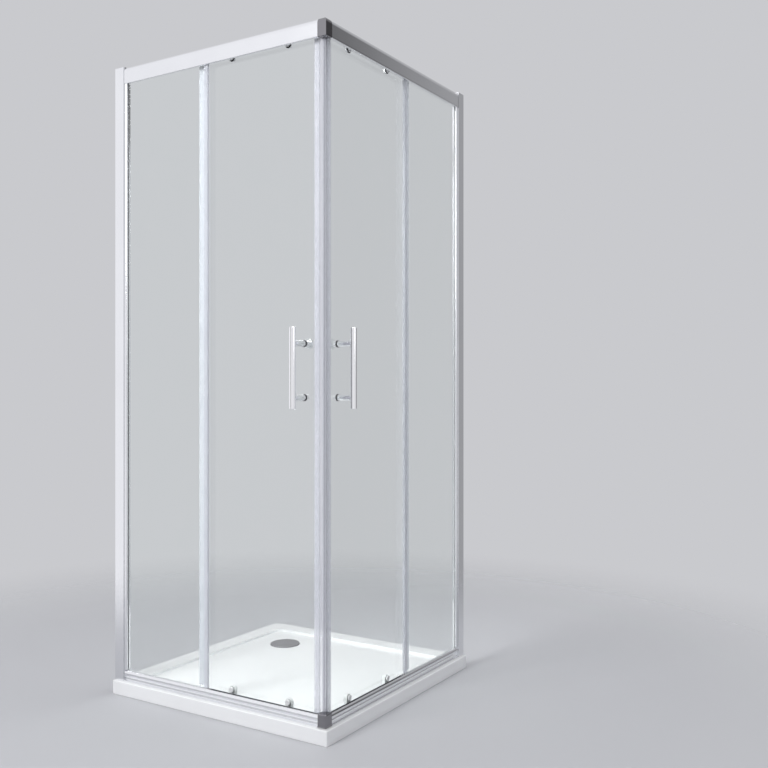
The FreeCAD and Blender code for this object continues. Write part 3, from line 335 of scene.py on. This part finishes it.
def coil(name, low, high):
    """A compression spring of round wire that fills the box from low to high. Its end turns lie
    almost flat."""
    centre = (low + high) / 2
    radius = (high.x - low.x) / 2 - WIRE_RADIUS
    rise = high.z - low.z - WIRE_RADIUS * 3
    turn = 1.0 / SPRING_TURNS
    hold = turn * END_TURN_HOLD
    curve = bpy.data.curves.new(name, "CURVE")
    curve.dimensions = "3D"
    curve.bevel_depth = WIRE_RADIUS
    curve.bevel_resolution = WIRE_ROUNDING
    spline = curve.splines.new("POLY")
    count = SPRING_TURNS * SPRING_STEPS
    spline.points.add(count)
    for i in range(count + 1):
        angle = 2 * math.pi * i / SPRING_STEPS
        share = i / count
        first_turn = min(share / turn, 1.0)
        climb = min(max((share - hold) / (1 - 2 * hold), 0.0), 1.0)
        height = low.z + WIRE_RADIUS * (1 + first_turn) + rise * climb
        x = centre.x + radius * math.cos(angle)
        y = centre.y + radius * math.sin(angle)
        spline.points[i].co = (x, y, min(height, high.z - WIRE_RADIUS), 1.0)
    curve_object = add_object(name + "_curve", curve)
    bpy.context.view_layer.update()
    evaluated = curve_object.evaluated_get(bpy.context.evaluated_depsgraph_get())
    mesh = bpy.data.meshes.new_from_object(evaluated)
    bpy.data.objects.remove(curve_object)
    for polygon in mesh.polygons:
        polygon.use_smooth = True
    mesh.materials.clear()
    mesh.materials.append(steel)
    return add_object(name, mesh)


for face in ("front", "side"):
    for number in (1, 2):
        node_name = "%s_roller_spring_%d" % (face, number)
        low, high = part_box(node_name)
        spring = coil(node_name + "_coil", low, high)
        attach(spring, face + "_door")
        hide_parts(node_name)
        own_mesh(spring)

# ---- floor, world and soft studio light ----------------------------------------------------------
BACKDROP = (0.585, 0.59, 0.615)
SKY_TINT = (0.95, 0.96, 1.0)
SKY_STRENGTH = 0.42
FLOOR_REACH = 6.0
FLOOR_DROP = 0.0005
FLOOR_SHADE = (0.53, 0.535, 0.56)
FLOOR_COLOR = (0.56, 0.565, 0.59)
FLOOR_ROUGHNESS = 0.7
FADE_START = 0.9
FADE_END = 2.4
# What polished metal reflects, by the compass heading of the reflection: degrees from +Y toward +X,
# and a shade. Pale boards stand all round, and two dark ones give the metal its dark accents.
BOARDS = (
    (-180.0, 0.86), (-170.0, 0.86), (-168.0, 0.06), (-156.0, 0.06), (-153.0, 1.0), (-100.0, 0.95),
    (-60.0, 0.75), (-32.0, 0.60), (0.0, 0.50), (20.0, 0.46), (27.0, 0.40), (35.0, 0.15),
    (38.0, 0.10), (48.0, 0.10), (54.0, 0.60), (90.0, 0.80), (148.0, 0.86), (180.0, 0.86),
)
BOARD_TINT = (0.965, 0.97, 1.0)
# Each lamp's name, place, target, size and power in watts.
LAMPS = (
    ("key", (-0.9, -4.3, 2.8), (0.0, 0.0, 0.9), (1.4, 2.2), 110.0),
    ("fill", (4.2, -0.6, 2.4), (0.0, 0.0, 0.9), (1.4, 2.6), 14.0),
    ("overhead", (0.4, 0.4, 4.4), (0.0, 0.0, 0.0), (2.2, 2.2), 60.0),
)


def add_floor():
    """A pale floor that keeps the shadow and fades into the backdrop, with no horizon."""
    mesh = bpy.data.meshes.new("floor")
    signs = ((-1, -1), (1, -1), (1, 1), (-1, 1))
    corners = [(x * FLOOR_REACH, y * FLOOR_REACH, 0.0) for x, y in signs]
    mesh.from_pydata(corners, [], [(0, 1, 2, 3)])
    look = Look("floor")
    place = look.place()
    cloud = look.noise(place, 0.7, 2.0)
    ground = look.add("BsdfPrincipled", Roughness=FLOOR_ROUGHNESS)
    look.feed(ground, "Base Color", look.mixed(cloud, FLOOR_SHADE, FLOOR_COLOR))
    away = look.add("VectorMath")
    away.operation = "LENGTH"
    look.feed(away, 0, place)
    fade = look.ranged(away.outputs["Value"], start=FADE_START, end=FADE_END, smooth=True)
    gone = look.add("BsdfTransparent")
    mesh.materials.append(look.finish(look.either(fade, ground.outputs[0], gone.outputs[0])))
    floor = add_object("floor", mesh, (0.0, 0.0, -FLOOR_DROP))


def board_color(sky):
    """The shade of the boards in the heading of a reflected ray."""
    parts = sky.add("SeparateXYZ", Vector=sky.add("TexCoord").outputs["Generated"])
    heading = sky.maths("ARCTAN2", parts.outputs["X"], parts.outputs["Y"])
    ramp = sky.add("ValToRGB", Fac=sky.ranged(heading, start=-math.pi, end=math.pi))
    stops = ramp.color_ramp.elements
    while len(stops) < len(BOARDS):
        stops.new(0.5)
    for stop, (degrees, shade) in zip(stops, BOARDS):
        stop.position = (degrees + 180.0) / 360.0
        stop.color = rgb(*(shade * c for c in BOARD_TINT))
    return ramp.outputs["Color"]


def add_world():
    """The backdrop for the camera and the glass, the boards in reflections, and an even light."""
    world = bpy.data.worlds.new("studio")
    world.use_nodes = True
    sky = Nodes(world.node_tree)
    path = sky.add("LightPath").outputs
    direct = sky.maths("MAXIMUM", path["Is Camera Ray"], path["Is Transmission Ray"])
    even = sky.add("Background", Color=rgb(*SKY_TINT), Strength=SKY_STRENGTH)
    boards = sky.add("Background", Color=board_color(sky))
    shine = sky.either(path["Is Glossy Ray"], even.outputs[0], boards.outputs[0])
    backdrop = sky.add("Background", Color=rgb(*BACKDROP))
    sky.add("OutputWorld", Surface=sky.either(direct, shine, backdrop.outputs[0]))
    bpy.context.scene.world = world


def add_lamp(name, place, target, size, power):
    """A soft rectangular lamp that faces its target."""
    data = bpy.data.lights.new(name, "AREA")
    data.shape = "RECTANGLE"
    data.size, data.size_y = size
    data.energy = power
    lamp = add_object(name, data, place)
    lamp.rotation_euler = (Vector(target) - Vector(place)).to_track_quat("-Z", "Y").to_euler()


add_floor()
add_world()
for lamp in LAMPS:
    add_lamp(*lamp)
